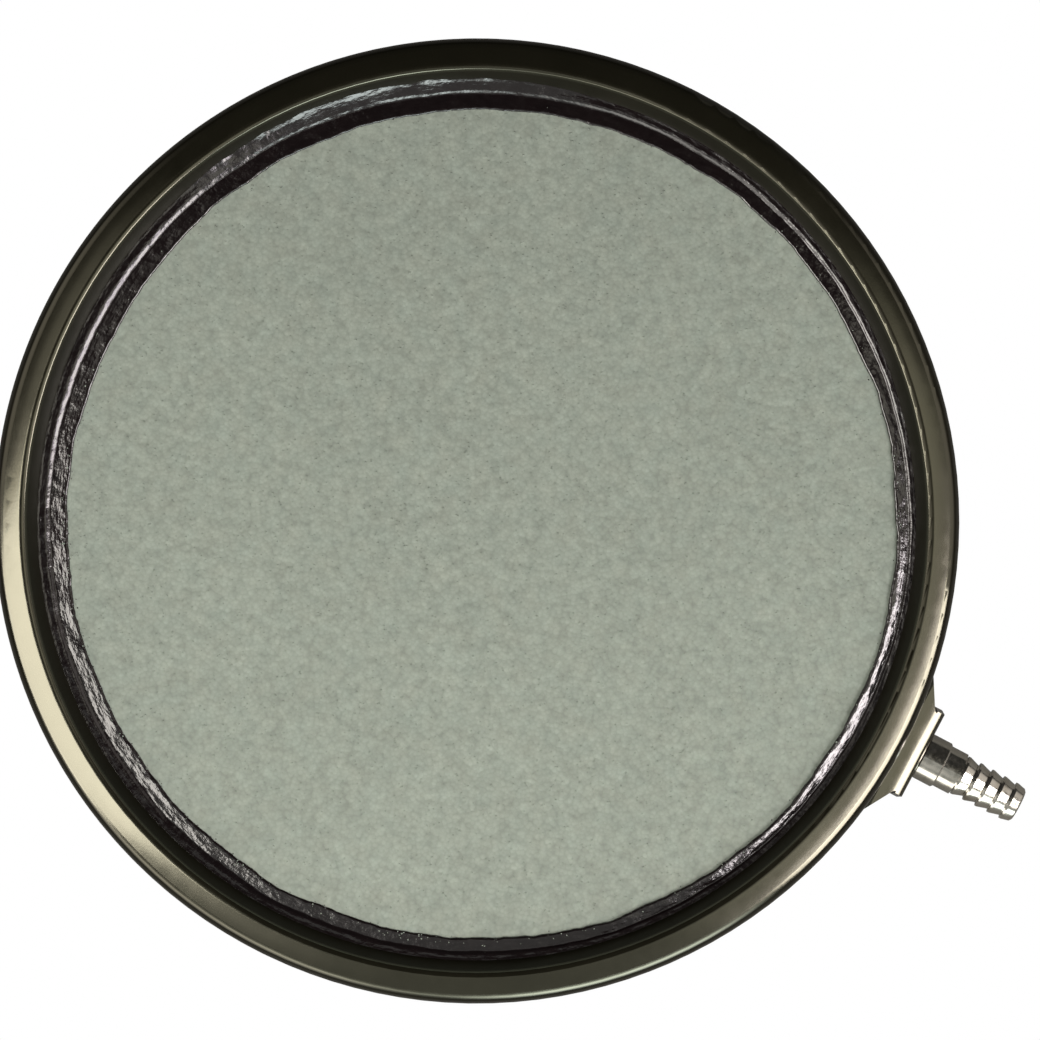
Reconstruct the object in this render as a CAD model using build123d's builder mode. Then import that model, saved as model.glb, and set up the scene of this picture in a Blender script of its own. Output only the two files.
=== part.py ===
"""
Round disc air stone for ponds and tanks.

A moulded black plastic housing holds a porous mineral disc. Air comes in through a metal hose barb
in a boss on the housing's side, fills the shallow air chamber under the disc and leaves through the
disc's pores as fine bubbles. Black resin bonds the disc into the housing and keeps air from slipping
out round its edge.

Millimetres. +Z is up. The origin is the centre of the housing's flat underside, and the hose barb
points along +X.
"""

import math
import os

from build123d import *

# Porous disc
stone_radius = 88.6
stone_thickness = 9.0
stone_chamfer = 0.8

# Resin round the disc
sealant_gap = 1.6  # between the disc's side and the housing
bead_cover = 2.9  # how far the bead laps over the disc's top face
bead_height = 1.2  # above the disc's top face
bead_foot_rise = 0.4  # where the bead meets the housing's slanted wall, above the disc's top face

# Housing, from its underside up
floor_thickness = 3.2
chamber_height = 8.4  # the air chamber under the disc
rim_depth = 4.4  # from the rim's crown down to the disc's top face
slant_foot_drop = 0.4  # where the inner wall starts to lean outwards, below the disc's top face

# Housing, from the disc outwards
ledge_width = 4.1  # the ledge's overlap under the disc's edge
slant_run = 3.2  # how far the inner wall leans outwards up to the rim
wall_thickness = 4.0
wall_draft = 1.5  # degrees
rim_width = 6.6
rim_crown_offset = 0.9  # from the rim's inner edge out to its crown
rim_crown_rounding = 2.0
rim_slope = 12.0  # degrees, where the rim's slanted face leaves the crown
rim_inner_fall = 0.25  # from the crown to the rim's inner edge
rim_outer_fall = 1.75  # from the crown to the rim's outer edge
rim_edge_height = 3.4
rim_inner_fillet = 0.5
rim_outer_fillet = 3.2
rim_under_fillet = 0.6
rim_root_fillet = 1.0
foot_fillet = 1.0

# Pockets moulded into the underside, which keep the ring under the ledge thin-walled
pocket_wall = 3.0
pocket_roof = 3.2  # between a pocket and the disc's ledge
pocket_rib_count = 24
pocket_rib_thickness = 2.4

# Ribs and post that hold the disc up off the floor
rib_count = 8
rib_thickness = 2.4
rib_post_gap = 14.0  # lets air pass between the post and the ribs
rib_ledge_gap = 18.5  # lets air pass between the ribs and the ledge
post_radius = 6.0

# Boss that carries the hose barb
boss_reach = 5.2  # past the rim's outer edge
boss_cover = 8.0  # from the barb's axis up to the boss's top
boss_clearance = 1.0  # under the boss
boss_slope = 8.0  # degrees, where the boss's crowned top leaves the rim
boss_fall = 1.6  # how far that top falls from the rim to the boss's face
boss_draft = 3.2  # degrees, on its flanks
neck_width = 19.8  # at its foot
lip_thickness = 1.7
lip_proud = 0.4
boss_fillet = 0.35
boss_edge_fillet = 1.8  # along the lip's top edge

# Hose barb
air_bore_radius = 2.4
shank_radius = 4.0
shank_length = 12.0
shank_end_clearance = 0.4
passage_radius = 2.6  # the hole through the housing behind the barb
collar_radius = 5.05
collar_length = 4.9
collar_chamfer = 0.3
land_radius = 4.6  # the plain stretch between the collar and the ridges
land_length = 3.8
ridge_count = 5
ridge_pitch = 2.84
ridge_root_radius = 3.65
ridge_first_radius = 4.35
ridge_taper = 0.05  # each ridge is this much smaller than the one before it
ridge_flat = 0.45  # length of a ridge's crest
groove_flat = 0.35  # length of the groove before a ridge
tip_chamfer = 0.4

# Rubber ring that seals the shank in the boss
ring_groove_offset = 3.0  # from the boss's face
ring_groove_width = 1.6
ring_groove_depth = 0.8
ring_width = 1.2
ring_fillet = 0.3

# Heights that follow
stone_seat_z = floor_thickness + chamber_height
stone_top_z = stone_seat_z + stone_thickness
slant_foot_z = stone_top_z - slant_foot_drop
rim_top_z = stone_top_z + rim_depth
rim_inner_z = rim_top_z - rim_inner_fall
rim_outer_z = rim_top_z - rim_outer_fall
rim_slant_z = rim_top_z - rim_crown_rounding * (1 - math.cos(math.radians(rim_slope)))
rim_under_z = rim_outer_z - rim_edge_height
pocket_depth = stone_seat_z - pocket_roof
barb_z = floor_thickness + chamber_height / 2
boss_top_z = barb_z + boss_cover
boss_face_top_z = boss_top_z - boss_fall
boss_height = boss_top_z - boss_clearance

# Radii that follow
ledge_radius = stone_radius - ledge_width
recess_radius = stone_radius + sealant_gap
wall_radius = recess_radius + wall_thickness
foot_radius = wall_radius - rim_under_z * math.tan(math.radians(wall_draft))
rim_inner_radius = recess_radius + slant_run
rim_crown_radius = rim_inner_radius + rim_crown_offset
rim_slant_radius = rim_crown_radius + rim_crown_rounding * math.sin(math.radians(rim_slope))
rim_radius = rim_inner_radius + rim_width
pocket_inner_radius = ledge_radius + pocket_wall
pocket_outer_radius = foot_radius - pocket_wall
rib_inner_radius = post_radius + rib_post_gap
rib_outer_radius = ledge_radius - rib_ledge_gap

# Places along the barb's axis that follow
boss_face_x = rim_radius + boss_reach
neck_end_x = boss_face_x - lip_thickness
lip_foot_half_width = neck_width / 2 + lip_proud
lip_top_half_width = lip_foot_half_width - boss_height * math.tan(math.radians(boss_draft))
shank_end_x = boss_face_x - shank_length
land_x = boss_face_x + collar_length
ridges_x = land_x + land_length
tip_x = ridges_x + ridge_count * ridge_pitch
ring_groove_x = boss_face_x - ring_groove_offset - ring_groove_width
ring_groove_radius = shank_radius - ring_groove_depth


def slanted_wall_radius(height):
    """Radius of the housing's slanted inner wall at a height between its foot and its rim."""
    share = (height - slant_foot_z) / (rim_inner_z - slant_foot_z)
    return recess_radius + share * slant_run


def neck_tangent_point():
    """Where the neck's flank, which starts at the lip, touches the housing's wall in plan."""
    half_width = neck_width / 2
    reach = math.hypot(neck_end_x, half_width)
    angle = math.atan2(half_width, neck_end_x) + math.acos(wall_radius / reach)
    return wall_radius * math.cos(angle), wall_radius * math.sin(angle)


def falling(slope):
    """The direction outwards and down at a slope in degrees."""
    return math.cos(math.radians(slope)), -math.sin(math.radians(slope))


def corner(sketch, radius, height):
    """The corner of a profile that lies nearest to a radius and a height."""
    return sketch.vertices().sort_by_distance((radius, height))[0]


# Housing: one moulding with its rim, ledge, ribs and boss
with BuildPart() as housing:
    # Shell, turned about the disc's axis
    with BuildSketch(Plane.XZ) as section:
        with BuildLine():
            Polyline(
                (0, 0),
                (foot_radius, 0),
                (wall_radius, rim_under_z),
                (rim_radius, rim_under_z),
                (rim_radius, rim_outer_z),
            )
            TangentArc((rim_crown_radius, rim_top_z), (rim_inner_radius, rim_inner_z), tangent=(-1, 0))
            TangentArc((rim_crown_radius, rim_top_z), (rim_slant_radius, rim_slant_z), tangent=(1, 0))
            TangentArc(
                (rim_slant_radius, rim_slant_z), (rim_radius, rim_outer_z), tangent=falling(rim_slope)
            )
            Polyline(
                (rim_inner_radius, rim_inner_z),
                (recess_radius, slant_foot_z),
                (recess_radius, stone_seat_z),
                (ledge_radius, stone_seat_z),
                (ledge_radius, floor_thickness),
                (0, floor_thickness),
                (0, 0),
            )
        make_face()
        fillet(corner(section, foot_radius, 0), foot_fillet)
        fillet(corner(section, wall_radius, rim_under_z), rim_root_fillet)
        fillet(corner(section, rim_radius, rim_under_z), rim_under_fillet)
        fillet(corner(section, rim_radius, rim_outer_z), rim_outer_fillet)
        fillet(corner(section, rim_inner_radius, rim_inner_z), rim_inner_fillet)
    revolve(axis=Axis.Z)

    # Boss on the side: a neck that flares into the wall, and a lip round its end
    tangent_x, tangent_y = neck_tangent_point()
    with BuildPart(mode=Mode.PRIVATE) as boss:
        with BuildSketch(Plane.XY.offset(boss_clearance)):
            with BuildLine():
                Polyline(
                    (tangent_x, -tangent_y),
                    (neck_end_x, -neck_width / 2),
                    (boss_face_x, -neck_width / 2),
                    (boss_face_x, neck_width / 2),
                    (neck_end_x, neck_width / 2),
                    (tangent_x, tangent_y),
                )
                ThreePointArc(
                    (tangent_x, tangent_y), ((recess_radius + wall_radius) / 2, 0), (tangent_x, -tangent_y)
                )
            make_face()
        extrude(amount=boss_height, taper=boss_draft)
        with BuildSketch(Plane.YZ.offset(neck_end_x)):
            with BuildLine():
                Polyline(
                    (lip_foot_half_width, boss_clearance),
                    (lip_top_half_width, boss_top_z),
                    (-lip_top_half_width, boss_top_z),
                    (-lip_foot_half_width, boss_clearance),
                    close=True,
                )
            make_face()
        extrude(amount=lip_thickness)
        # Its side view, crowned on top, which the boss is trimmed to
        with BuildSketch(Plane.XZ) as side_view:
            with BuildLine():
                TangentArc(
                    (rim_radius, boss_top_z), (boss_face_x, boss_face_top_z), tangent=falling(boss_slope)
                )
                Polyline(
                    (boss_face_x, boss_face_top_z),
                    (boss_face_x, boss_clearance),
                    (ledge_radius, boss_clearance),
                    (ledge_radius, boss_top_z),
                    (rim_radius, boss_top_z),
                )
            make_face()
            fillet(corner(side_view, boss_face_x, boss_face_top_z), boss_edge_fillet)
        extrude(amount=tangent_y, both=True, mode=Mode.INTERSECT)
    add(boss.part)

    # Pockets in the underside, left out behind the boss
    with BuildSketch():
        Circle(pocket_outer_radius)
        Circle(pocket_inner_radius, mode=Mode.SUBTRACT)
        pocket_middle_radius = (pocket_inner_radius + pocket_outer_radius) / 2
        with PolarLocations(pocket_middle_radius, pocket_rib_count):
            Rectangle(2 * pocket_wall, pocket_rib_thickness, mode=Mode.SUBTRACT)
        with Locations((pocket_middle_radius, 0)):
            Rectangle(2 * pocket_wall, neck_width, mode=Mode.SUBTRACT)
    extrude(amount=pocket_depth, mode=Mode.SUBTRACT)

    # Ribs and centre post, with a gap between two ribs in line with the air inlet
    with BuildSketch(Plane.XY.offset(floor_thickness)):
        Circle(post_radius)
        rib_middle_radius = (rib_inner_radius + rib_outer_radius) / 2
        with PolarLocations(rib_middle_radius, rib_count, start_angle=180 / rib_count):
            Rectangle(rib_outer_radius - rib_inner_radius, rib_thickness)
    extrude(amount=chamber_height)

    # Hole for the barb's shank, and the narrower air passage behind it
    with BuildSketch(Plane.YZ.offset(boss_face_x)):
        with Locations((0, barb_z)):
            Circle(shank_radius)
    extrude(amount=-(shank_length + shank_end_clearance), mode=Mode.SUBTRACT)
    with BuildSketch(Plane.YZ.offset(shank_end_x)):
        with Locations((0, barb_z)):
            Circle(passage_radius)
    extrude(amount=rib_outer_radius - shank_end_x, mode=Mode.SUBTRACT)

# Porous disc, which lies on the ledge, the ribs and the post
with BuildPart() as stone_disc:
    with BuildSketch(Plane.XY.offset(stone_seat_z)):
        Circle(stone_radius)
    extrude(amount=stone_thickness)
    chamfer(stone_disc.edges().filter_by(GeomType.CIRCLE), stone_chamfer)

# Resin: it fills the gap round the disc and stands proud over the disc's edge as a bead
with BuildPart() as edge_sealant:
    bead_inner_radius = stone_radius - bead_cover
    bead_foot_z = stone_top_z + bead_foot_rise
    bead_foot_radius = slanted_wall_radius(bead_foot_z)
    with BuildSketch(Plane.XZ):
        with BuildLine():
            ThreePointArc(
                (bead_inner_radius, stone_top_z),
                ((bead_inner_radius + bead_foot_radius) / 2, stone_top_z + bead_height),
                (bead_foot_radius, bead_foot_z),
            )
            Polyline(
                (bead_foot_radius, bead_foot_z),
                (recess_radius, slant_foot_z),
                (recess_radius, stone_seat_z),
                (stone_radius - stone_chamfer, stone_seat_z),
                (stone_radius, stone_seat_z + stone_chamfer),
                (stone_radius, stone_top_z - stone_chamfer),
                (stone_radius - stone_chamfer, stone_top_z),
                (bead_inner_radius, stone_top_z),
            )
        make_face()
    revolve(axis=Axis.Z)

# Turned parts on the barb's axis are drawn in the upright plane through it
barb_plane = Plane(origin=(0, 0, barb_z), x_dir=(1, 0, 0), z_dir=(0, -1, 0))
barb_axis = Axis((0, 0, barb_z), (1, 0, 0))

# Hose barb: turned brass, bored right through, with a shank, a collar and ridges for the hose
with BuildPart() as hose_barb:
    ridge_points = []
    for ridge in range(ridge_count):
        groove_x = ridges_x + ridge * ridge_pitch
        crest_x = groove_x + groove_flat
        crest_radius = ridge_first_radius - ridge * ridge_taper
        ridge_points += [
            (groove_x, ridge_root_radius),
            (crest_x, ridge_root_radius),
            (crest_x, crest_radius),
            (crest_x + ridge_flat, crest_radius),
        ]
    with BuildSketch(barb_plane) as barb_section:
        with BuildLine():
            Polyline(
                (shank_end_x, air_bore_radius),
                (shank_end_x, shank_radius),
                (ring_groove_x, shank_radius),
                (ring_groove_x, ring_groove_radius),
                (ring_groove_x + ring_groove_width, ring_groove_radius),
                (ring_groove_x + ring_groove_width, shank_radius),
                (boss_face_x, shank_radius),
                (boss_face_x, collar_radius),
                (land_x, collar_radius),
                (land_x, land_radius),
                (ridges_x, land_radius),
                *ridge_points,
                (tip_x, ridge_root_radius),
                (tip_x, air_bore_radius),
                close=True,
            )
        make_face()
        chamfer(corner(barb_section, boss_face_x, collar_radius), collar_chamfer)
        chamfer(corner(barb_section, land_x, collar_radius), collar_chamfer)
        chamfer(corner(barb_section, tip_x, ridge_root_radius), tip_chamfer)
    revolve(axis=barb_axis)

# Rubber ring in the shank's groove, pressed a little flat by the boss's hole
with BuildPart() as barb_o_ring:
    with BuildSketch(barb_plane) as ring_section:
        with Locations((ring_groove_x + ring_groove_width / 2, (ring_groove_radius + shank_radius) / 2)):
            Rectangle(ring_width, ring_groove_depth)
        fillet(ring_section.vertices(), ring_fillet)
    revolve(axis=barb_axis)

# One file for each piece
pieces = {
    "housing": housing,
    "stone_disc": stone_disc,
    "edge_sealant": edge_sealant,
    "hose_barb": hose_barb,
    "barb_o_ring": barb_o_ring,
}
os.makedirs("parts", exist_ok=True)
for name, piece in pieces.items():
    piece.part.label = name
    export_step(piece.part, f"parts/{name}.step")
    print(name, "volume", round(piece.part.volume / 1000, 2), "cm3")
print("rim radius", round(rim_radius, 2), "height", round(rim_top_z, 2), "barb tip", round(tip_x, 2))
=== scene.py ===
# %% [markdown]
# # A round disc air stone
# A pond or tank air stone is a porous mineral disc bonded into a shallow black plastic housing.
# Air comes in through a ridged metal hose barb on the side and leaves through the disc's pores.
# The housing, the barb and its seal come from the CAD model as they are, and get their finishes
# here. The disc and its resin bead are uneven, hand-made looking things, so they are modelled again
# as rough meshes that stand for the CAD solids.

import math

import bpy
from mathutils import Matrix, Vector


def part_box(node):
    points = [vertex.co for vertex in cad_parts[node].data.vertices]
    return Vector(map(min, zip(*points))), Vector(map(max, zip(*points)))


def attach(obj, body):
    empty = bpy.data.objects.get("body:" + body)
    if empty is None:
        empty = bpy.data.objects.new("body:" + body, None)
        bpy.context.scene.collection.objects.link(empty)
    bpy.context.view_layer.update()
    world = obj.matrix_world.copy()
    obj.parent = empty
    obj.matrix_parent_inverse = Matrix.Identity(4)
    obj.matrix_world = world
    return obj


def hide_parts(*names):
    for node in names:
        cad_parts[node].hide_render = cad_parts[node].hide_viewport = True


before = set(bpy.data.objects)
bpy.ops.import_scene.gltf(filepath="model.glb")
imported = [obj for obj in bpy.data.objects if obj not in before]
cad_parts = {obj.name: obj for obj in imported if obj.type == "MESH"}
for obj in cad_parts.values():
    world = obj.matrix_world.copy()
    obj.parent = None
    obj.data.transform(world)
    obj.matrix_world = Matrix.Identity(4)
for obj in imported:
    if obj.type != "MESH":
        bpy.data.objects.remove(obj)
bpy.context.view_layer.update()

# %% [markdown]
# ## Sizes
# Everything is in metres. Sizes that the CAD model knows are read from its boxes, so the new meshes
# stay where the solids are. `mm` keeps the rest readable.

# %% Sizes from the CAD model
mm = 0.001
stone_low, stone_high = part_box("stone_disc")
stone_radius = stone_high.x
stone_seat = stone_low.z
stone_top = stone_high.z
rim_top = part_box("housing")[1].z
print("disc radius", round(stone_radius, 4), "top", round(stone_top, 4), "rim top", round(rim_top, 4))

# %% [markdown]
# ## The photograph's view
# The picture looks straight down, with the hose barb pointing to the lower right. The housing's
# outline is a circle, so its centre and radius in the picture give the scale and the camera's place.
# A long lens from over a metre away keeps the rim from hiding the wall inside it, as in the picture.

# %% Camera
photo_size = 1040  # pixels
photo_centre = Vector((476.7, 521.0))  # of the housing's outline
photo_rim_radius = 482.8
photo_barb_bearing = math.radians(27.75)  # clockwise from the picture's right
rim_radius = 100 * mm
camera_height = 1.2  # above the widest part of the rim
outline_drop = 3.6 * mm  # how far that part lies under the rim's top
sensor_width = 36.0  # millimetres, as Blender gives a camera's sensor

image_right = Vector((math.cos(photo_barb_bearing), math.sin(photo_barb_bearing), 0))
image_up = Vector((-math.sin(photo_barb_bearing), math.cos(photo_barb_bearing), 0))
metres_per_pixel = rim_radius / photo_rim_radius
shift_right = (photo_size / 2 - photo_centre.x) * metres_per_pixel
shift_up = (photo_centre.y - photo_size / 2) * metres_per_pixel
aim = image_right * shift_right + image_up * shift_up


def bearing(degrees):
    """The level direction at a clockwise angle from the picture's right."""
    angle = math.radians(degrees)
    return image_right * math.cos(angle) - image_up * math.sin(angle)


camera_data = bpy.data.cameras.new("camera")
camera_data.sensor_width = sensor_width
camera_data.lens = sensor_width * camera_height / (photo_size * metres_per_pixel)
camera = bpy.data.objects.new("camera", camera_data)
bpy.context.scene.collection.objects.link(camera)
turned = Matrix((image_right, image_up, Vector((0, 0, 1)))).transposed().to_4x4()
camera_top = rim_top - outline_drop + camera_height
camera.matrix_world = Matrix.Translation(aim + Vector((0, 0, camera_top))) @ turned
bpy.context.scene.camera = camera
print("lens", round(camera_data.lens, 1), "mm, aimed at", [round(x, 4) for x in aim])

# %% [markdown]
# ## Helpers for node trees
# Materials and Geometry Nodes trees are both made of nodes. `add` makes a node, sets its options and
# feeds its inputs with plain values or with other nodes' outputs. `calc` is a Math node and `vector`
# a Vector Math node. `ring_place` gives coordinates in which a noise comes out drawn along circles
# round the object's axis, as marks of moulding and wiping are. A noise runs from 0 to 1 but seldom
# comes near its ends, so `remap` takes it from `noise_span`.

# %% Node helpers
noise_span = (0.3, 0.7)


def add(tree, kind, options=None, feeds=None):
    """Adds a node to a tree. options sets its properties, feeds its inputs by name or number."""
    made = tree.nodes.new(kind)
    for option, value in (options or {}).items():
        setattr(made, option, value)
    for key, value in (feeds or {}).items():
        if isinstance(value, bpy.types.NodeSocket):
            tree.links.new(value, made.inputs[key])
        else:
            made.inputs[key].default_value = value
    return made


def calc(tree, operation, *values):
    """The result of a Math node."""
    feeds = dict(enumerate(values))
    return add(tree, "ShaderNodeMath", {"operation": operation}, feeds).outputs[0]


def vector(tree, operation, *values):
    """The result of a Vector Math node, which is a number for a length or a dot product."""
    made = add(tree, "ShaderNodeVectorMath", {"operation": operation}, dict(enumerate(values)))
    return made.outputs[1 if operation in ("LENGTH", "DOT_PRODUCT") else 0]


def scaled(tree, value, factor):
    """A vector times a number."""
    return add(tree, "ShaderNodeVectorMath", {"operation": "SCALE"}, {0: value, 3: factor}).outputs[0]


def upright(tree, height):
    """A vector straight up."""
    return add(tree, "ShaderNodeCombineXYZ", feeds={2: height}).outputs[0]


def height_of(tree, value):
    """A vector's Z."""
    return add(tree, "ShaderNodeSeparateXYZ", feeds={0: value}).outputs[2]


def from_axis_of(tree, place):
    """The outward direction of a place and its distance from the upright axis."""
    flat = vector(tree, "MULTIPLY", place, (1, 1, 0))
    return vector(tree, "NORMALIZE", flat), vector(tree, "LENGTH", flat)


def ring_place(tree, place, stretch):
    """Coordinates for a noise that is drawn out along circles round the axis."""
    outwards, from_axis = from_axis_of(tree, place)
    return vector(tree, "ADD", scaled(tree, outwards, stone_radius / stretch), upright(tree, from_axis))


def remap(tree, value, low, high, new_low, new_high, smooth=False):
    """A value moved from one range to another, and kept inside it."""
    options = {"interpolation_type": "SMOOTHSTEP" if smooth else "LINEAR"}
    feeds = {0: value, 1: low, 2: high, 3: new_low, 4: new_high}
    return add(tree, "ShaderNodeMapRange", options, feeds).outputs[0]


def noise(tree, where, size, detail=2.0, roughness=0.5):
    """Noise whose lumps are about this size in metres, from 0 to 1."""
    feeds = {"Vector": where, "Scale": 1 / size, "Detail": detail, "Roughness": roughness}
    return add(tree, "ShaderNodeTexNoise", feeds=feeds).outputs[0]


def new_material(name):
    """A material, its tree, its main shader and the piece's own coordinates in metres."""
    material = bpy.data.materials.new(name)
    material.use_nodes = True
    tree = material.node_tree
    where = add(tree, "ShaderNodeTexCoord").outputs["Object"]
    return material, tree, tree.nodes["Principled BSDF"], where


def tinted(tree, share, dark, light):
    """A colour between two others."""
    feeds = {0: share, 6: (*dark, 1), 7: (*light, 1)}
    return add(tree, "ShaderNodeMix", {"data_type": "RGBA"}, feeds).outputs[2]


def raised(tree, height, depth, under=None):
    """A bump from a height of 0 to 1 that stands for depth metres."""
    feeds = {"Strength": 1.0, "Distance": depth, "Height": height}
    if under is not None:
        feeds["Normal"] = under
    return add(tree, "ShaderNodeBump", feeds=feeds).outputs[0]


print("helpers ready")

# %% [markdown]
# ## Black moulded plastic
# The housing is black plastic with an olive cast and a half-gloss skin. Such a skin is never quite
# even: it has a faint orange-peel from the mould and dull patches from handling. Both are noises in
# the shader, because they are far too fine to model. Inside the rim the skin is also rougher.
# The gleam is dimmed inside one radius and, on a narrow band, outside another: a painted shade that
# darkens the recessed wall and draws a dark outline and crease along the rim's outer edge.

# %% Plastic
plastic_dark = (0.0016, 0.0014, 0.0007)
plastic_light = (0.0036, 0.0032, 0.0017)
plastic_gleam = (1.0, 0.97, 0.76)
plastic_roughness = (0.13, 0.21)
plastic_shine = 0.85
# Painted shade: the dimmed gleam on the wall inside the rim and on a band at the rim's outer edge
painted_shade_gleam = (0.09, 0.085, 0.06)
dull_roughness = 0.15  # added inside the rim
painted_shade_inside = (92.9 * mm, 93.3 * mm)
painted_shade_edge = (98.5 * mm, 98.95 * mm)
edge_end = (99.95 * mm, 100.1 * mm)
patch_size = 22 * mm
patch_share = 0.6  # of the unevenness of the gloss
rub_size = 3 * mm
rub_share = 0.4
wave_size = 9 * mm  # the moulding's shallow waves
wave_depth = 0.05 * mm
peel_size = 0.5 * mm
peel_depth = 0.004 * mm

plastic, tree, shader, where = new_material("black plastic")
patches = noise(tree, where, patch_size, detail=4)
rubs = noise(tree, where, rub_size, detail=3)
tree.links.new(tinted(tree, patches, plastic_dark, plastic_light), shader.inputs["Base Color"])
patches_part = calc(tree, "MULTIPLY", patches, patch_share)
rubs_part = calc(tree, "MULTIPLY", rubs, rub_share)
roughness = remap(tree, calc(tree, "ADD", patches_part, rubs_part), *noise_span, *plastic_roughness)
outwards, from_axis = from_axis_of(tree, where)
# Painted shade: the gleam is dimmed on the recessed wall inside the rim and on a narrow band at the
# rim's outer edge, for a dark outline and crease
inside = remap(tree, from_axis, *painted_shade_inside, 1, 0)
past_edge = remap(tree, from_axis, *painted_shade_edge, 0, 1)
painted_edge_shade = calc(tree, "MULTIPLY", past_edge, remap(tree, from_axis, *edge_end, 1, 0))
roughness = calc(tree, "ADD", roughness, calc(tree, "MULTIPLY", inside, dull_roughness))
tree.links.new(roughness, shader.inputs["Roughness"])
shader.inputs["Specular IOR Level"].default_value = plastic_shine
painted_shade = calc(tree, "MAXIMUM", inside, painted_edge_shade)
tree.links.new(tinted(tree, painted_shade, plastic_gleam, painted_shade_gleam), shader.inputs["Specular Tint"])
waves = raised(tree, noise(tree, where, wave_size, detail=1), wave_depth)
peel = raised(tree, noise(tree, where, peel_size, detail=2), peel_depth, waves)
tree.links.new(peel, shader.inputs["Normal"])
print("plastic", plastic.name)

# %% [markdown]
# ## Porous stone
# The disc is made of mineral grains under a millimetre across, sintered together so that
# air passes between them. A Voronoi texture is a natural fit: each cell is a grain with its own
# shade, and the dark of the pores lies along the cells' borders. Two softer noises add the clumps
# and the very faint clouding that the picture shows. It also shows the disc a little paler towards
# its lower side, where more light fell: that is painted light, a plain gradient in the colour.

# %% Stone
stone_colour = (0.1137, 0.135, 0.1175)
stone_warm = (0.1218, 0.134, 0.1132)
# Painted light: the disc's colour is paler towards its lower side, as if the lamps stood nearer there
painted_light_fade = 0.085  # how much paler the disc is at the picture's bottom than in its middle
stone_roughness = 0.92
stone_shine = 0.25
grain_size = 0.8 * mm
grain_tones = (0.95, 1.05)
pore_edge = (0.4, 0.9)  # of a grain's size, from its middle
pore_tones = (1.02, 0.88)
grain_foot = 0.8  # of a grain's size, where its rounding ends
clump_size = 2.2 * mm
clump_tones = (0.89, 1.11)
cloud_size = 26 * mm
cloud_tones = (0.975, 1.025)
warmth_size = 5 * mm
grain_bump = 0.04 * mm
powder_size = 0.25 * mm
powder_bump = 0.012 * mm

stone, tree, shader, where = new_material("porous stone")
cells = add(tree, "ShaderNodeTexVoronoi", feeds={"Vector": where, "Scale": 1 / grain_size})
shade = add(tree, "ShaderNodeSeparateColor", feeds={0: cells.outputs["Color"]}).outputs[0]
grain_tone = remap(tree, shade, 0, 1, *grain_tones)
pore_tone = remap(tree, cells.outputs["Distance"], *pore_edge, *pore_tones)
clump_tone = remap(tree, noise(tree, where, clump_size, detail=2), *noise_span, *clump_tones)
cloud_tone = remap(tree, noise(tree, where, cloud_size, detail=3), *noise_span, *cloud_tones)
tone = calc(tree, "MULTIPLY", grain_tone, pore_tone)
tone = calc(tree, "MULTIPLY", tone, calc(tree, "MULTIPLY", clump_tone, cloud_tone))
# Painted light: the colour grows paler towards the disc's lower side
downwards = vector(tree, "DOT_PRODUCT", where, bearing(90))
painted_light_tone = remap(tree, downwards, -stone_radius, stone_radius, 1 - painted_light_fade, 1 + painted_light_fade)
tone = calc(tree, "MULTIPLY", tone, painted_light_tone)
tint = tinted(tree, noise(tree, where, warmth_size, detail=4), stone_colour, stone_warm)
tree.links.new(scaled(tree, tint, tone), shader.inputs["Base Color"])
shader.inputs["Roughness"].default_value = stone_roughness
shader.inputs["Specular IOR Level"].default_value = stone_shine
rounded = remap(tree, cells.outputs["Distance"], 0, grain_foot, 1, 0)
grains_bump = raised(tree, rounded, grain_bump)
powder = raised(tree, noise(tree, where, powder_size, detail=2), powder_bump, grains_bump)
tree.links.new(powder, shader.inputs["Normal"])
print("stone", stone.name, "grain", grain_size / mm, "mm")

# %% [markdown]
# ## Resin, plating and rubber
# The resin sets to a deep gloss with a plum cast. It was drawn round by hand, so its ripples run
# along the ring, with small specks between them. The barb is turned brass with worn plating: fine
# turning marks run round its axis, so they are a noise that changes fast along X and hardly at all
# across. The seal is plain rubber.

# %% Resin
resin_colour = (0.0014, 0.0007, 0.0009)
resin_thin = (0.0036, 0.0021, 0.0023)
resin_roughness = (0.1, 0.2)
resin_shine = 0.6
lump_size = 4 * mm
haze_size = 1.5 * mm
ripple_size = 0.55 * mm
ripple_stretch = 4  # how many times longer than wide the ripples are
ripple_depth = 0.06 * mm
speck_size = 0.9 * mm
speck_depth = 0.06 * mm

resin, tree, shader, where = new_material("black resin")
lumps = noise(tree, where, lump_size, detail=3)
tree.links.new(tinted(tree, lumps, resin_colour, resin_thin), shader.inputs["Base Color"])
roughness = remap(tree, noise(tree, where, haze_size, detail=3), *noise_span, *resin_roughness)
tree.links.new(roughness, shader.inputs["Roughness"])
shader.inputs["Specular IOR Level"].default_value = resin_shine
drawn_out = noise(tree, ring_place(tree, where, ripple_stretch), ripple_size, detail=2)
ripples = raised(tree, drawn_out, ripple_depth)
specks = raised(tree, noise(tree, where, speck_size, detail=2), speck_depth, ripples)
tree.links.new(specks, shader.inputs["Normal"])
print("resin", resin.name)

# %% Plating
plating_colour = (0.46, 0.44, 0.4)
plating_stain = (0.2, 0.17, 0.12)
plating_roughness = (0.1, 0.24)
stain_size = 3.5 * mm
stain_edge = (0.52, 0.75)  # of the noise, from clean to stained
stain_share = 0.6
wear_size = 0.9 * mm
turning_pitch = 0.12 * mm
turning_depth = 0.004 * mm
turning_stretch = (1.0, 0.03, 0.03)

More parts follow.
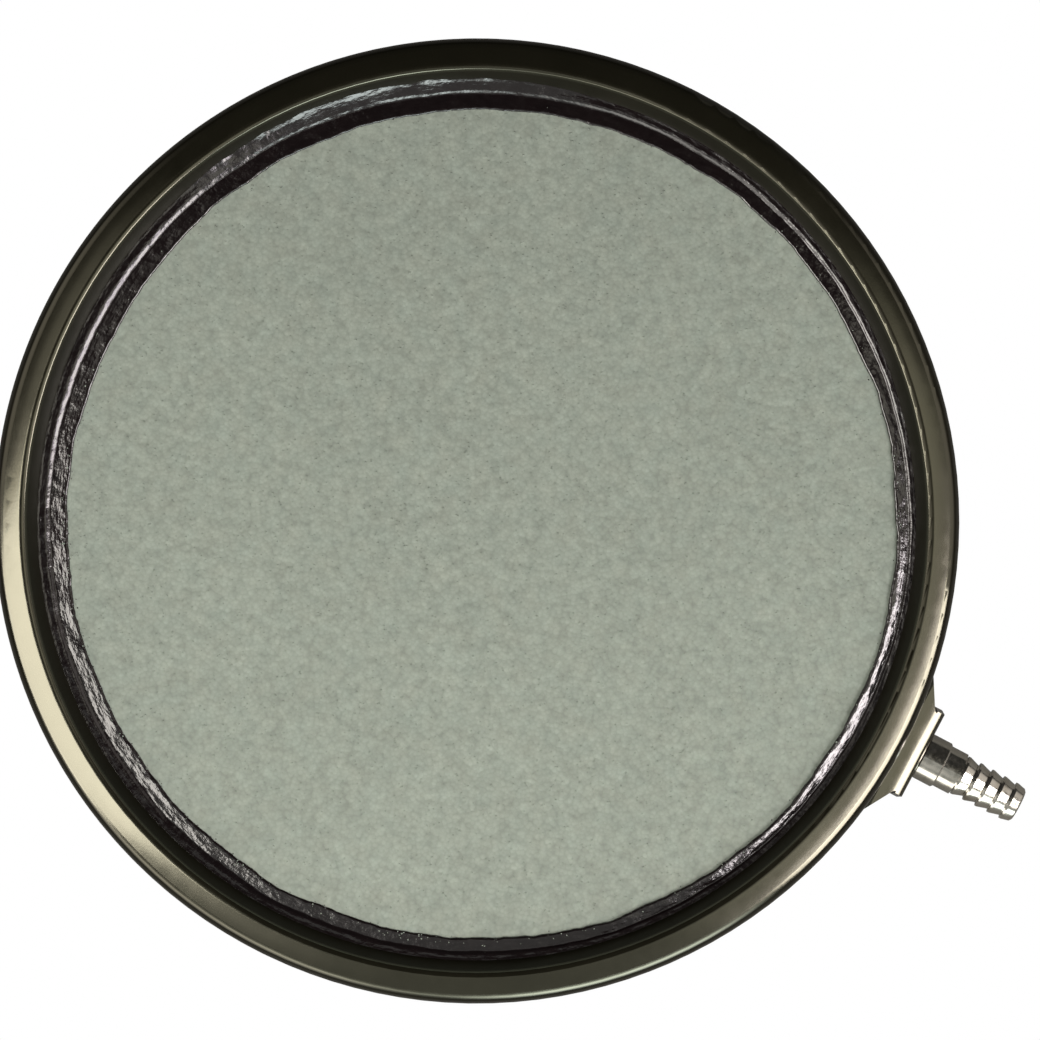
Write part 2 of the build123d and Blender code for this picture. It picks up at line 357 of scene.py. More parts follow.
plating, tree, shader, where = new_material("bright plating")
stains = remap(tree, noise(tree, where, stain_size, detail=4), *stain_edge, 0, stain_share)
tree.links.new(tinted(tree, stains, plating_colour, plating_stain), shader.inputs["Base Color"])
shader.inputs["Metallic"].default_value = 1.0
roughness = remap(tree, noise(tree, where, wear_size, detail=3), *noise_span, *plating_roughness)
tree.links.new(roughness, shader.inputs["Roughness"])
feeds = {"Vector": where, "Scale": turning_stretch}
stretched = add(tree, "ShaderNodeMapping", feeds=feeds).outputs[0]
marks = raised(tree, noise(tree, stretched, turning_pitch, detail=2), turning_depth)
tree.links.new(marks, shader.inputs["Normal"])
print("plating", plating.name)

# %% Rubber
rubber_colour = (0.012, 0.012, 0.012)
rubber_dusty = (0.03, 0.03, 0.03)
rubber_roughness = 0.7
dust_size = 0.8 * mm

rubber, tree, shader, where = new_material("seal rubber")
dust = noise(tree, where, dust_size, detail=3)
tree.links.new(tinted(tree, dust, rubber_colour, rubber_dusty), shader.inputs["Base Color"])
shader.inputs["Roughness"].default_value = rubber_roughness
print("rubber", rubber.name)

# %% Finishes on the CAD pieces
finishes = {
    "housing": plastic,
    "stone_disc": stone,
    "edge_sealant": resin,
    "hose_barb": plating,
    "barb_o_ring": rubber,
}
for name, finish in finishes.items():
    for material_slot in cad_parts[name].material_slots:
        material_slot.material = finish
    print(name, "wears", finish.name)

# %% [markdown]
# ## Helpers for Geometry Nodes
# A tree is made with named inputs, put on a base object as a modifier, and its result is kept as a
# plain mesh. The modifier goes, so that the finished piece is only its mesh.

# %% Tree helpers
def geometry_tree(name, inputs):
    """An empty tree with named inputs: each name has its socket type and its first value."""
    tree = bpy.data.node_groups.new(name, "GeometryNodeTree")
    tree.interface.new_socket("Geometry", in_out="INPUT", socket_type="NodeSocketGeometry")
    for label, (kind, value) in inputs.items():
        socket = tree.interface.new_socket(label, in_out="INPUT", socket_type="NodeSocket" + kind)
        if value is not None:
            socket.default_value = value
    tree.interface.new_socket("Geometry", in_out="OUTPUT", socket_type="NodeSocketGeometry")
    return tree, tree.nodes.new("NodeGroupInput").outputs


def close_tree(tree, geometry, material):
    """Ends a tree: instances become real and take their material."""
    real = add(tree, "GeometryNodeRealizeInstances", feeds={0: geometry}).outputs[0]
    feeds = {"Geometry": real, "Material": material}
    add(tree, "NodeGroupOutput", feeds={0: add(tree, "GeometryNodeSetMaterial", feeds=feeds).outputs[0]})


def linked(name, data):
    """A new object in the scene."""
    made = bpy.data.objects.new(name, data)
    bpy.context.scene.collection.objects.link(made)
    return made


def grown(name, base_mesh, tree, values, smooth):
    """Runs a tree over a base mesh and returns the result as a plain mesh object."""
    base = linked(name + " base", base_mesh)
    modifier = base.modifiers.new(tree.name, "NODES")
    modifier.node_group = tree
    for socket in tree.interface.items_tree:
        if socket.in_out == "INPUT" and socket.name in values:
            modifier[socket.identifier] = values[socket.name]
    depsgraph = bpy.context.evaluated_depsgraph_get()
    mesh = bpy.data.meshes.new_from_object(base.evaluated_get(depsgraph))
    bpy.data.objects.remove(base)
    mesh.polygons.foreach_set("use_smooth", [smooth] * len(mesh.polygons))
    piece = linked(name, mesh)
    mesh.calc_loop_triangles()
    print(name, "triangles", len(mesh.loop_triangles))
    return piece


print("tree helpers ready")

# %% [markdown]
# ## The disc
# Noise can only roughen a mesh that is fine and even. A disc cut from a square grid has a ragged
# edge, and one with spokes is crowded at its centre. Rings of 6, 12, 18 and so on points give nearly
# equal triangles everywhere, so the disc is built from such rings, then closed by its sides.

# %% Base mesh of the disc
stone_chamfer = 0.8 * mm
ring_spacing = 0.53 * mm


def ringed_disc(name, radius, chamfer, top, bottom, spacing):
    """A closed disc whose top is made of rings with six more points each."""
    rings = round((radius - chamfer) / spacing)
    reach = (radius - chamfer) / rings
    points = [(0, 0, top)]
    for ring in range(1, rings + 1):
        for step in range(6 * ring):
            angle = math.tau * step / (6 * ring)
            points.append((ring * reach * math.cos(angle), ring * reach * math.sin(angle), top))

    def at(ring, step):
        return 0 if ring == 0 else 1 + 3 * ring * (ring - 1) + step % (6 * ring)

    faces = []
    for ring in range(rings):
        for sector in range(6):
            for step in range(ring + 1):
                inner = sector * ring + step
                outer = sector * (ring + 1) + step
                faces.append((at(ring, inner), at(ring + 1, outer), at(ring + 1, outer + 1)))
                if step < ring:
                    faces.append((at(ring, inner), at(ring + 1, outer + 1), at(ring, inner + 1)))
    around = 6 * rings
    upper = len(points) - around
    for side_radius, height in (
        (radius, top - chamfer),
        (radius, bottom + chamfer),
        (radius - chamfer, bottom),
    ):
        lower = len(points)
        for step in range(around):
            angle = math.tau * step / around
            points.append((side_radius * math.cos(angle), side_radius * math.sin(angle), height))
            following = (step + 1) % around
            faces.append((upper + step, lower + step, lower + following, upper + following))
        upper = lower
    points.append((0, 0, bottom))
    for step in range(around):
        faces.append((upper + (step + 1) % around, upper + step, len(points) - 1))
    mesh = bpy.data.meshes.new(name)
    mesh.from_pydata(points, [], faces)
    return mesh


disc_mesh = ringed_disc("disc base", stone_radius, stone_chamfer, stone_top, stone_seat, ring_spacing)
print("disc base", len(disc_mesh.vertices), "points")

# %% [markdown]
# The tree moves each point of the top: a little sideways at random, so that the rings don't show,
# and up or down by two sizes of noise. Where a third noise is low, a pore sinks in. Points on
# the sides and the underside stay, since the resin and the housing hide them.

# %% Rough face of the disc
bump_size = 5 * mm  # of the broad bumps
bump_share = 0.6  # beside the fine ones
bump_middle = 0.8  # so that the two together lift as much as they sink
pore_spacing = 2.1 * mm
pore_rim = (0.24, 0.36)  # of the noise, from a pore's floor to the face
top_margin = 0.01 * mm  # under the face, so that all of its points count as on top
tree, given = geometry_tree(
    "rough stone face",
    {
        "Top": ("Float", 0.0),
        "Grain": ("Float", 0.0),
        "Relief": ("Float", 0.0),
        "Pore": ("Float", 0.0),
        "Jitter": ("Float", 0.0),
        "Seed": ("Int", 0),
        "Material": ("Material", None),
    },
)
position = add(tree, "GeometryNodeInputPosition").outputs[0]
top = calc(tree, "SUBTRACT", given["Top"], top_margin)
on_top = calc(tree, "GREATER_THAN", height_of(tree, position), top)
grain_scale = calc(tree, "DIVIDE", 1.0, given["Grain"])
feeds = {"Vector": position, "Scale": grain_scale, "Detail": 1.0}
fine = add(tree, "ShaderNodeTexNoise", feeds=feeds).outputs[0]
coarse = noise(tree, position, bump_size, detail=2)
deep = remap(tree, noise(tree, position, pore_spacing, detail=1), *pore_rim, 1, 0, smooth=True)
both = calc(tree, "ADD", fine, calc(tree, "MULTIPLY", coarse, bump_share))
lift = calc(tree, "SUBTRACT", both, bump_middle)
sunk = calc(tree, "MULTIPLY", deep, given["Pore"])
rise = calc(tree, "SUBTRACT", calc(tree, "MULTIPLY", lift, given["Relief"]), sunk)
backwards = calc(tree, "MULTIPLY", given["Jitter"], -1.0)
least = add(tree, "ShaderNodeCombineXYZ", feeds={0: backwards, 1: backwards})
most = add(tree, "ShaderNodeCombineXYZ", feeds={0: given["Jitter"], 1: given["Jitter"]})
feeds = {0: least.outputs[0], 1: most.outputs[0], "Seed": given["Seed"]}
random_vector = {"data_type": "FLOAT_VECTOR"}
sideways = add(tree, "FunctionNodeRandomValue", random_vector, feeds).outputs[0]
move = vector(tree, "ADD", sideways, upright(tree, rise))
feeds = {"Geometry": given["Geometry"], "Selection": on_top, "Offset": move}
moved = add(tree, "GeometryNodeSetPosition", feeds=feeds).outputs[0]
close_tree(tree, moved, given["Material"])

porous_disc = grown(
    "porous_disc",
    disc_mesh,
    tree,
    {
        "Top": stone_top,
        "Grain": 1.7 * mm,
        "Relief": 0.13 * mm,
        "Pore": 0.14 * mm,
        "Jitter": 0.1 * mm,
        "Seed": 7,
        "Material": stone,
    },
    smooth=True,
)
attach(porous_disc, "root")
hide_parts("stone_disc")

# %% [markdown]
# Single grains stand proud of the face and catch the light. They are scattered over the disc's top
# at random, each a small faceted pebble of twenty faces, turned, scaled and sunk to its middle. They are
# kept inside the bead, with a fixed seed so that they lie the same way each time.

# %% Grains on the disc
bead_reach = 3.6 * mm  # how far the bead laps over the disc, about
facing_up = 0.5  # a face whose normal rises by more than this is part of the top
any_turn = (6.3, 6.3, 6.3)  # a full turn round each axis
tree, given = geometry_tree(
    "scattered grains",
    {
        "Reach": ("Float", 0.0),
        "Density": ("Float", 0.0),
        "Smallest": ("Float", 0.0),
        "Largest": ("Float", 0.0),
        "Seed": ("Int", 0),
        "Material": ("Material", None),
    },
)
outwards, from_axis = from_axis_of(tree, add(tree, "GeometryNodeInputPosition").outputs[0])
facing = height_of(tree, add(tree, "GeometryNodeInputNormal").outputs[0])
inside = calc(tree, "LESS_THAN", from_axis, given["Reach"])
chosen = calc(tree, "MULTIPLY", inside, calc(tree, "GREATER_THAN", facing, facing_up))
feeds = {
    "Mesh": given["Geometry"],
    "Selection": chosen,
    "Density": given["Density"],
    "Seed": given["Seed"],
}
spots = add(tree, "GeometryNodeDistributePointsOnFaces", feeds=feeds).outputs[0]
pebble_shape = {"Radius": 1.0, "Subdivisions": 1}
pebble = add(tree, "GeometryNodeMeshIcoSphere", feeds=pebble_shape).outputs[0]
feeds = {1: any_turn, "Seed": given["Seed"]}
turn = add(tree, "FunctionNodeRandomValue", random_vector, feeds).outputs[0]
feeds = {2: given["Smallest"], 3: given["Largest"], "Seed": given["Seed"]}
width = add(tree, "FunctionNodeRandomValue", {"data_type": "FLOAT"}, feeds).outputs[1]
feeds = {"Points": spots, "Instance": pebble, "Rotation": turn, "Scale": width}
scattered = add(tree, "GeometryNodeInstanceOnPoints", feeds=feeds).outputs[0]
close_tree(tree, scattered, given["Material"])

stone_grains = grown(
    "stone_grains",
    porous_disc.data.copy(),
    tree,
    {
        "Reach": stone_radius - bead_reach,
        "Density": 0.2 / mm**2,
        "Smallest": 0.1 * mm,
        "Largest": 0.2 * mm,
        "Seed": 11,
        "Material": stone,
    },
    smooth=False,
)
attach(stone_grains, "root")

# %% [markdown]
# ## The resin bead
# The resin was poured round the disc's edge and drawn round by hand. In cross-section it laps over
# the disc with a rounded lip, falls off the disc's edge into a groove, and rises again to a skin on
# the housing's slanted wall. That section is swept round a circle. Its inner edge isn't centred: in
# the picture it reaches far over the disc on one side and hardly at all on the other, so it leans
# that way, and noise makes it wander and swell on top of that.

# %% Section of the bead
resin_gap = 1.6 * mm  # between the disc and the housing
recess_radius = stone_radius + resin_gap
wall_slope = 3.2 / 4.55  # the housing's inner wall leans out by 3.2 mm in 4.55 mm up
wall_foot = -0.4 * mm  # where the lean starts, from the disc's face
bead_start = 85.9 * mm
lip_radius = 86.4 * mm  # as far out as this the bead leans and wanders as one
heap_foot_radius = 89.55 * mm  # where the slope of the heaped resin ends
wall_side_radius = 90.4 * mm  # from here outwards it keeps to the housing
skin_height = 0.75 * mm
skin_radius = recess_radius + (skin_height - wall_foot) * wall_slope
beside_wall = 0.03 * mm
under_chamfer = 0.1 * mm
under_face = -0.95 * mm
bead_profile = [  # radius, and height above the disc's face, in millimetres
    (85.9, -0.25),
    (85.93, 0.05),
    (86.02, 0.23),
    (86.15, 0.34),
    (86.35, 0.385),
    (86.6, 0.37),
    (86.9, 0.33),
    (87.2, 0.29),
    (87.5, 0.25),
    (87.8, 0.21),
    (88.1, 0.17),
    (88.4, 0.13),
    (88.65, 0.095),
    (88.85, 0.075),
    (89.0, 0.1),
    (89.15, 0.2),
    (89.35, 0.38),
    (89.55, 0.52),
    (89.75, 0.59),
    (90.05, 0.62),
    (90.4, 0.64),
    (90.7, 0.67),
]


def bead_section(name):
    """The bead's outline as a closed curve, with X outwards and Y down from the disc's face."""
    outline = [(radius * mm, height * mm) for radius, height in bead_profile]
    # A point right beside the wall keeps the skin's shading level up to its edge
    outline += [(skin_radius - beside_wall, skin_height), (skin_radius, skin_height)]
    outline += [(recess_radius, wall_foot)]
    outline += [(recess_radius, stone_seat - stone_top), (stone_radius, stone_seat - stone_top)]
    # The last two points lie inside the disc, so that no gap shows at its chamfer
    outline += [(stone_radius, -stone_chamfer - under_chamfer)]
    outline += [(stone_radius - stone_chamfer, under_face)]
    curve = bpy.data.curves.new(name, "CURVE")
    curve.dimensions = "3D"
    spline = curve.splines.new("POLY")
    spline.points.add(len(outline) - 1)
    for point, (radius, height) in zip(spline.points, outline):
        point.co = (radius - stone_radius, -height, 0, 1)
    spline.use_cyclic_u = True
    return linked(name, curve)


section = bead_section("bead section")
print("bead section", len(section.data.splines[0].points), "points, to", round(skin_radius / mm, 2))

# %% [markdown]
# The lean and the wander carry the bead's lip along and fade out towards the wall. Where that makes
# the bead narrow, the same resin heaps up, so the slope behind the lip is steep there and nearly flat
# on the wide side. Over the disc the groove can't be deeper than the disc's face, so its bottom is
# lifted there. At the smear, the skin is drawn up along the wall. All of it acts only on the part
# above the disc's edge.

# %% Sweep of the bead
bead_lean = bearing(32) * 1.35 * mm
smear_bearing = bearing(256)
smear_full = math.radians(6)  # to either side of that bearing
smear_fade = math.radians(32)
smear_start = 89.7 * mm
swell_end = 90.9 * mm
lip_crest = 86.3 * mm
carry_power = 1.6  # above 1, the lean holds on longer before it fades out
heap_from = 0.2  # the cosine of the angle from the lean where the heap begins
heap_least = -0.15  # the heap's share before that: the resin lies a little lower there
face_end = stone_radius - stone_chamfer
over_face = (face_end - 0.2 * mm, stone_radius + 0.1 * mm)  # where the disc's face lies under the groove
groove_floor = 0.07 * mm  # the least height there
wander_length = 13 * mm
shiver_length = 1.7 * mm
shiver_share = 0.25
streak_length = 7 * mm
streak_span = (0.3, 0.65)  # of the noise, from the smear's shortest streaks to its longest
streak_least = 0.4  # how long the shortest are beside the longest
hump_size = 1.6 * mm
hump_stretch = 2.5
free_part = (90.0 * mm, 90.19 * mm)  # past this the points hidden behind the skin stay where they are
free_height = 0.3 * mm  # over the disc's face: what is higher there is the skin and still moves
tree, given = geometry_tree(
    "resin bead",
    {
        "Section": ("Object", None),
        "Radius": ("Float", 0.0),
        "Height": ("Float", 0.0),
        "Steps": ("Int", 8),
        "Lip Radius": ("Float", 0.0),
        "Heap Foot Radius": ("Float", 0.0),
        "Wall Side Radius": ("Float", 0.0),
        "Outer Radius": ("Float", 0.0),
        "Lean": ("Vector", None),
        "Wander": ("Float", 0.0),
        "Swell": ("Float", 0.0),
        "Heap": ("Float", 0.0),
        "Smear": ("Float", 0.0),
        "Smear Bearing": ("Vector", None),
        "Wall Slope": ("Float", 1.0),
        "Material": ("Material", None),
    },
)
feeds = {"Resolution": given["Steps"], "Radius": given["Radius"]}
circle = add(tree, "GeometryNodeCurvePrimitiveCircle", feeds=feeds).outputs[0]
level_circle = add(tree, "GeometryNodeSetCurveNormal", {"mode": "Z_UP"}, {0: circle}).outputs[0]
outline = add(tree, "GeometryNodeObjectInfo", feeds={"Object": given["Section"]}).outputs["Geometry"]
feeds = {"Curve": level_circle, "Profile Curve": outline}
swept = add(tree, "GeometryNodeCurveToMesh", feeds=feeds).outputs[0]
feeds = {"Geometry": swept, "Offset": upright(tree, given["Height"])}
swept = add(tree, "GeometryNodeSetPosition", feeds=feeds).outputs[0]

position = add(tree, "GeometryNodeInputPosition").outputs[0]
outwards, from_axis = from_axis_of(tree, position)
above = calc(tree, "SUBTRACT", height_of(tree, position), given["Height"])

# Sideways: the lean and the wander, less and less towards the wall
leaning = vector(tree, "DOT_PRODUCT", outwards, given["Lean"])
slow = calc(tree, "SUBTRACT", noise(tree, position, wander_length, detail=2), 0.5)
quick = calc(tree, "SUBTRACT", noise(tree, position, shiver_length, detail=2), 0.5)
wander = calc(tree, "ADD", slow, calc(tree, "MULTIPLY", quick, shiver_share))
wander = calc(tree, "MULTIPLY", wander, given["Wander"])
left_behind = remap(tree, from_axis, given["Lip Radius"], given["Wall Side Radius"], 0, 1)
carried = calc(tree, "SUBTRACT", 1.0, calc(tree, "POWER", left_behind, carry_power))
carried_off = calc(tree, "ADD", leaning, wander)
shifted = calc(tree, "MULTIPLY", carried_off, carried)
new_radius = calc(tree, "ADD", from_axis, shifted)

# The smear: the skin drawn outwards and up the wall on one side
near = vector(tree, "DOT_PRODUCT", outwards, given["Smear Bearing"])
smear_here = remap(tree, near, math.cos(smear_fade), math.cos(smear_full), 0, 1, smooth=True)
streak_noise = noise(tree, position, streak_length, detail=3)
streaks = remap(tree, streak_noise, *streak_span, streak_least, 1)
drawn = calc(tree, "MULTIPLY", calc(tree, "MULTIPLY", smear_here, streaks), given["Smear"])
outer_part = remap(tree, from_axis, smear_start, given["Outer Radius"], 0, 1)
drawn = calc(tree, "MULTIPLY", drawn, outer_part)
climbed = calc(tree, "DIVIDE", drawn, given["Wall Slope"])
sideways = scaled(tree, outwards, calc(tree, "ADD", shifted, drawn))

# Upwards: humps, and the smear's climb, but never into the disc's face
hump_place = ring_place(tree, position, hump_stretch)
humps = calc(tree, "SUBTRACT", noise(tree, hump_place, hump_size, detail=2), 0.5)
swell = calc(tree, "MULTIPLY", humps, given["Swell"])
swell = calc(tree, "MULTIPLY", swell, calc(tree, "LESS_THAN", from_axis, swell_end))
narrowness = calc(tree, "DIVIDE", leaning, vector(tree, "LENGTH", given["Lean"]))
heap_share = remap(tree, narrowness, heap_from, 1, heap_least, 1)
heaped = calc(tree, "MULTIPLY", heap_share, given["Heap"])
lip_now = calc(tree, "ADD", given["Lip Radius"], carried_off)
slope = remap(tree, new_radius, lip_now, given["Heap Foot Radius"], 1, 0)
swell = calc(tree, "ADD", swell, calc(tree, "MULTIPLY", heaped, slope))
wanted = calc(tree, "ADD", calc(tree, "ADD", above, swell), climbed)
bottom = remap(tree, new_radius, *over_face, groove_floor, -stone_chamfer)
kept_clear = calc(tree, "SUBTRACT", calc(tree, "MAXIMUM", wanted, bottom), above)
past_lip = calc(tree, "GREATER_THAN", from_axis, lip_crest)
before_lip = calc(tree, "MULTIPLY", swell, calc(tree, "SUBTRACT", 1.0, past_lip))
rise = calc(tree, "ADD", calc(tree, "MULTIPLY", kept_clear, past_lip), before_lip)

# Only what lies above the disc and the wall's foot moves
move = vector(tree, "ADD", sideways, upright(tree, rise))
hidden_under = remap(tree, from_axis, *free_part, -stone_chamfer, free_height)
free = calc(tree, "GREATER_THAN", above, hidden_under)
feeds = {"Geometry": swept, "Selection": free, "Offset": move}
uneven = add(tree, "GeometryNodeSetPosition", feeds=feeds).outputs[0]
close_tree(tree, uneven, given["Material"])

resin_bead = grown(
    "resin_bead",
    bpy.data.meshes.new("bead base"),
    tree,
    {
        "Section": section,
        "Radius": stone_radius,
        "Height": stone_top,
        "Steps": 1440,
        "Lip Radius": lip_radius,
        "Heap Foot Radius": heap_foot_radius,
        "Wall Side Radius": wall_side_radius,
        "Outer Radius": skin_radius,
        "Lean": bead_lean,
        "Wander": 1.9 * mm,
        "Swell": 0.24 * mm,
        "Heap": 0.44 * mm,
        "Smear": 0.95 * mm,
        "Smear Bearing": smear_bearing,
        "Wall Slope": wall_slope,
        "Material": resin,
    },
    smooth=True,
)
bpy.data.objects.remove(section)
lowest = min(v.co.z for v in resin_bead.data.vertices)
highest = max(v.co.z for v in resin_bead.data.vertices)
print("bead from", round(lowest / mm, 2), "to", round(highest / mm, 2), "mm")
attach(resin_bead, "root")
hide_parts("edge_sealant")

# %% [markdown]
# Where the bead was wiped, loose grains stuck in it and specks of resin were left on the disc. Both
# are small pebbles dropped onto the bead and the disc from above, along the bead's inner edge and
# mostly on the two sides where the picture shows them.

# %% Grit along the bead's edge
drop_height = 50 * mm  # above the base, over everything that the grit may land on
flattest = (0.5, 0.5, 0.4)  # shares of a grain's size along each of its axes
fullest = (1.7, 1.0, 0.7)
tilted = (0.6, 0.6, 6.3)  # a slight tilt and any turn, in radians
thick_span = (0.2, 0.9)  # the cosine of the angle from the thick side, from sparse to thick
sparse_share = 0.03  # of the grit that is kept on the sparse part
tree, given = geometry_tree(
    "edge grit",
    {
        "Bead": ("Object", None),
        "Disc": ("Object", None),
        "Radius": ("Float", 0.0),
        "Lean": ("Vector", None),
        "Count": ("Int", 8),
        "Inwards": ("Float", 0.0),
        "Outwards": ("Float", 0.0),
        "Thick Side": ("Vector", None),
        "Smallest": ("Float", 0.0),
        "Largest": ("Float", 0.0),
        "Seed": ("Int", 0),
        "Material": ("Material", None),
    },
)


def chance(low, high, shift, kind="FLOAT"):
    """A random value for each point, from a seed of its own."""
    first, second, output = (0, 1, 0) if kind == "FLOAT_VECTOR" else (2, 3, 1)
    seed = calc(tree, "ADD", given["Seed"], float(shift))
    feeds = {first: low, second: high, "Seed": seed}
    return add(tree, "FunctionNodeRandomValue", {"data_type": kind}, feeds).outputs[output]


drops = add(tree, "GeometryNodePoints", feeds={"Count": given["Count"]}).outputs[0]
turn = chance(0.0, math.tau, 1)
feeds = {0: calc(tree, "COSINE", turn), 1: calc(tree, "SINE", turn)}
ray = add(tree, "ShaderNodeCombineXYZ", feeds=feeds).outputs[0]
leaning = vector(tree, "DOT_PRODUCT", ray, given["Lean"])
edge = calc(tree, "ADD", given["Radius"], leaning)
reach = calc(tree, "ADD", edge, chance(given["Inwards"], given["Outwards"], 2))
above = vector(tree, "ADD", scaled(tree, ray, reach), (0, 0, drop_height))
placed = add(tree, "GeometryNodeSetPosition", feeds={"Geometry": drops, "Position": above}).outputs[0]
thick = vector(tree, "DOT_PRODUCT", ray, given["Thick Side"])
kept_share = remap(tree, thick, *thick_span, sparse_share, 1)
wanted = calc(tree, "GREATER_THAN", kept_share, chance(0.0, 1.0, 3))
kept = add(tree, "GeometryNodeSeparateGeometry", {"domain": "POINT"}, {0: placed, 1: wanted}).outputs[0]
surfaces = tree.nodes.new("GeometryNodeJoinGeometry")
for name in ("Bead", "Disc"):
    surface = add(tree, "GeometryNodeObjectInfo", feeds={"Object": given[name]}).outputs["Geometry"]
    tree.links.new(surface, surfaces.inputs[0])
feeds = {
    "Target Geometry": surfaces.outputs[0],
    "Ray Direction": (0, 0, -1),
    "Ray Length": 2 * drop_height,
}
hit = add(tree, "GeometryNodeRaycast", feeds=feeds).outputs["Hit Position"]
feeds = {"Geometry": kept, "Position": hit}
landed = add(tree, "GeometryNodeSetPosition", feeds=feeds).outputs[0]
pebble = add(tree, "GeometryNodeMeshIcoSphere", feeds=pebble_shape).outputs[0]
size = chance(given["Smallest"], given["Largest"], 4)
flattened = scaled(tree, chance(flattest, fullest, 6, "FLOAT_VECTOR"), size)
turned_by = chance((0, 0, 0), tilted, 5, "FLOAT_VECTOR")
feeds = {"Points": landed, "Instance": pebble, "Rotation": turned_by, "Scale": flattened}
strewn = add(tree, "GeometryNodeInstanceOnPoints", feeds=feeds).outputs[0]
close_tree(tree, strewn, given["Material"])

strewn_values = {
    "Bead": resin_bead,
    "Disc": porous_disc,
    "Radius": bead_start,
    "Lean": bead_lean,
}
# Name, count, nearest and farthest from the edge in mm, side, sizes in mm, seed, finish, slot
for name, count, inwards, outwards_by, side, sizes, seed, finish, slot in (
    ("stuck_grains_left", 420, -0.1, 1.6, 145, (0.08, 0.2), 21, stone, "porous_stone"),
    ("stuck_grains_right", 300, -0.1, 1.2, 25, (0.08, 0.18), 31, stone, "porous_stone"),
    ("resin_specks_left", 190, -0.5, 0.1, 145, (0.06, 0.2), 41, resin, "black_resin"),
    ("resin_specks_right", 130, -0.4, 0.1, 20, (0.06, 0.18), 51, resin, "black_resin"),
):
    values = {
        "Count": count,
        "Inwards": inwards * mm,
        "Outwards": outwards_by * mm,
        "Thick Side": bearing(side),
        "Smallest": sizes[0] * mm,
        "Largest": sizes[1] * mm,
        "Seed": seed,
        "Material": finish,
    }
    values.update(strewn_values)
    piece = grown(name, bpy.data.meshes.new(name + " base"), tree, values, smooth=False)
    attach(piece, "root")

# %% [markdown]
# ## Floor, light and finish
# The picture is cut out on plain white, so the camera sees the floor and the sky as white and
# without shadows. What the object mirrors is a plain pale table top instead, about as bright as the
# disc, which gives the plated barb and the rim's outer edge something to reflect.

# %% Floor
floor_half = 3.0
floor_drop = 0.2 * mm  # under the object, so that the two never share a plane
table_colour = (0.1, 0.1, 0.093)
table_roughness = 0.9
table_shine = 0.2
floor_mesh = bpy.data.meshes.new("floor")
corners = [(-1, -1), (1, -1), (1, 1), (-1, 1)]
points = [(floor_half * x, floor_half * y, -floor_drop) for x, y in corners]
floor_mesh.from_pydata(points, [], [(0, 1, 2, 3)])
floor = linked("floor", floor_mesh)

paper, tree, shader, where = new_material("white paper")
shader.inputs["Base Color"].default_value = (*table_colour, 1)
shader.inputs["Roughness"].default_value = table_roughness
shader.inputs["Specular IOR Level"].default_value = table_shine
white = add(tree, "ShaderNodeEmission", feeds={"Color": (1, 1, 1, 1), "Strength": 1.0}).outputs[0]
from_camera = add(tree, "ShaderNodeLightPath").outputs["Is Camera Ray"]
feeds = {0: from_camera, 1: shader.outputs[0], 2: white}
seen = add(tree, "ShaderNodeMixShader", feeds=feeds).outputs[0]
tree.links.new(seen, tree.nodes["Material Output"].inputs["Surface"])
floor_mesh.materials.append(paper)
print("floor", 2 * floor_half, "m wide")

# %% [markdown]
# The bright streaks on the rim show where the lamps stood. One big soft box stood to the picture's
# left, tall enough to fill the rim's whole slanted face there. A lower one stood to the right, a bit
# below the picture's middle: it reaches the rim's outer edge and the slope of the bead, but not the
# slanted face. A big dim one near the lower side fills in.

# %% Soft boxes
def soft_box(name, degrees, elevation, distance, width, height, brightness, colour):
    """An area light that faces the disc. Brightness is its radiance."""
    data = bpy.data.lights.new(name, "AREA")
    data.shape = "RECTANGLE"
    data.size = width
    data.size_y = height
    data.energy = brightness * math.pi * width * height
    data.color = colour
    lamp = linked(name, data)
    rise = math.radians(elevation)
    away = bearing(degrees) * math.cos(rise) + Vector((0, 0, math.sin(rise)))
    lamp.location = Vector((0, 0, rim_top)) + away * distance
    lamp.rotation_mode = "QUATERNION"
    lamp.rotation_quaternion = away.to_track_quat("Z", "Y")
    lamp.visible_camera = False
    print(name, "at", [round(x, 2) for x in lamp.location])


soft_box("left soft box", 159, 42, 0.65, 0.36, 0.58, 10.3, (1.0, 0.95, 0.88))
soft_box("right soft box", 27, 30, 0.65, 0.46, 0.32, 14.0, (1.0, 0.94, 0.9))
soft_box("lower fill", 90, 50, 0.36, 0.5, 0.5, 0.42, (0.97, 1.0, 0.94))

# %% [markdown]
# The rest of the room is a sky of soft glows over a dark ground tone. Each glow is given by its
# bearing, its reach to either side and its lowest and highest elevation. The top of the picture and
# the point overhead stay nearly black, as the rim shows.

# %% World
world = bpy.data.worlds.new("studio")
world.use_nodes = True
bpy.context.scene.world = world
tree = world.node_tree
towards = add(tree, "ShaderNodeTexCoord").outputs["Generated"]
level = from_axis_of(tree, towards)[0]
elevation = calc(tree, "ARCSINE", height_of(tree, towards))
glow_softness = 6  # degrees to either side of a glow's lower and upper edge


def fading(value, middle, first, last):
    """A soft step from one number to another, round an angle in degrees."""
    start = math.radians(middle - glow_softness)
    end = math.radians(middle + glow_softness)
    return remap(tree, value, start, end, first, last, smooth=True)


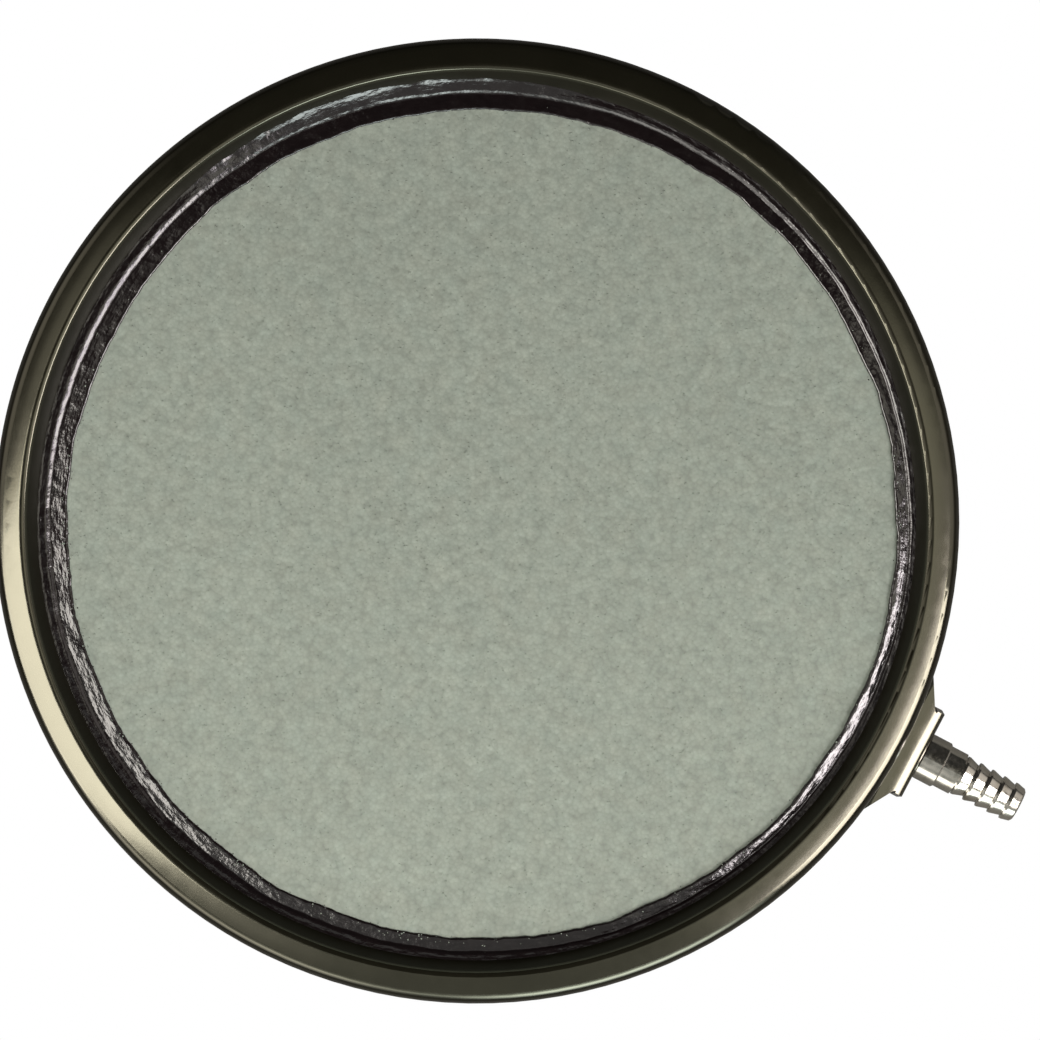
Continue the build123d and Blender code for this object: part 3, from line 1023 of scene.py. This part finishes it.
def glow(light_so_far, degrees, full, fade, low, high, brightness, colour):
    """Adds a soft patch of light to the sky. Angles are in degrees."""
    off = calc(tree, "ARCCOSINE", vector(tree, "DOT_PRODUCT", level, bearing(degrees)))
    beside = remap(tree, off, math.radians(full), math.radians(fade), 1, 0, smooth=True)
    over = fading(elevation, low, 0, 1)
    under = fading(elevation, high, 1, 0)
    share = calc(tree, "MULTIPLY", beside, calc(tree, "MULTIPLY", over, under))
    strength = calc(tree, "MULTIPLY", share, brightness)
    return vector(tree, "MULTIPLY_ADD", strength, colour, light_so_far)


light = (0.045, 0.045, 0.042)
# Bearing, full and faded reach beside it, lowest and highest elevation, brightness, colour
for patch in (
    (148, 18, 46, 50, 72, 1.1, (1.0, 0.95, 0.88)),
    (128, 12, 34, 4, 30, 3.2, (1.0, 0.95, 0.88)),
    (17, 33, 55, 54, 74, 1.25, (1.0, 0.96, 0.82)),
    (4, 18, 36, 54, 74, 0.3, (1.0, 0.96, 0.82)),
    (28, 14, 30, 40, 48, 15.0, (1.0, 0.9, 0.97)),
    (195, 10, 34, 54, 74, 1.0, (1.0, 0.95, 0.85)),
    (198, 10, 36, 8, 40, 1.0, (1.0, 0.93, 0.85)),
    (345, 12, 36, 8, 40, 0.9, (1.0, 0.93, 0.85)),
    (88, 20, 46, -2, 10, 1.1, (0.93, 1.0, 0.95)),
    (73, 7, 22, 6, 31, 9.0, (0.9, 1.0, 0.97)),
    (95, 8, 30, 14, 30, 1.7, (0.93, 1.0, 0.95)),
):
    light = glow(light, *patch)
dim = tree.nodes["Background"]
tree.links.new(light, dim.inputs["Color"])
backdrop = add(tree, "ShaderNodeBackground", feeds={"Color": (1, 1, 1, 1), "Strength": 1.0}).outputs[0]
from_camera = add(tree, "ShaderNodeLightPath").outputs["Is Camera Ray"]
feeds = {0: from_camera, 1: dim.outputs[0], 2: backdrop}
seen = add(tree, "ShaderNodeMixShader", feeds=feeds).outputs[0]
tree.links.new(seen, tree.nodes["World Output"].inputs["Surface"])
bpy.context.scene.view_settings.view_transform = "Standard"
print("world ready")
